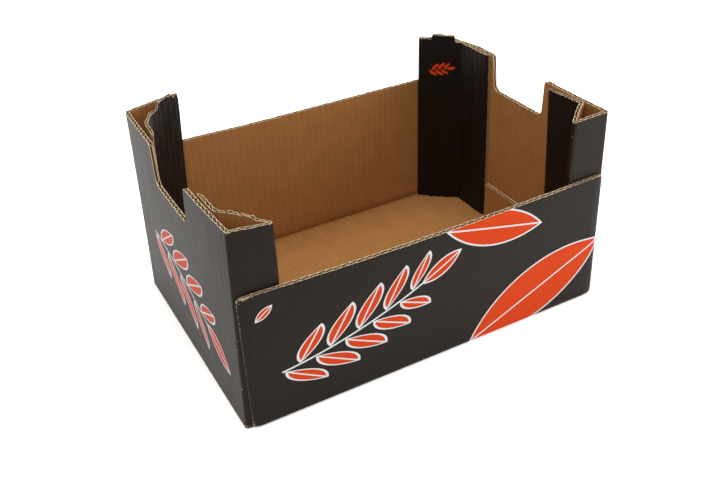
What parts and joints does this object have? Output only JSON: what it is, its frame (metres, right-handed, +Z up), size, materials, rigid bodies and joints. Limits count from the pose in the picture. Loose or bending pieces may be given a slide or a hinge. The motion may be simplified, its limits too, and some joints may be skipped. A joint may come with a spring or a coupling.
{
  "type": "cardboard tray box",
  "caption": "Open-topped corrugated tray box with taller end panels, hand notches and hollow folded corner posts with stacking tabs.",
  "frame": {"origin": "middle of the tray's underside, on the surface that it stands on", "axes": "+X along the tray's length to the right-hand end panel, +Y from the front wall to the back wall, +Z up"},
  "size_m": [0.4, 0.28, 0.217],
  "materials": {
    "printed_board": "brown corrugated board, printed charcoal with orange and white shapes on its outer face, bare kraft inside"
  },
  "bodies": {
    "root": {"body_wrap": "printed_board", "end_piece_left": "printed_board", "end_piece_right": "printed_board"}
  },
  "joints": []
}
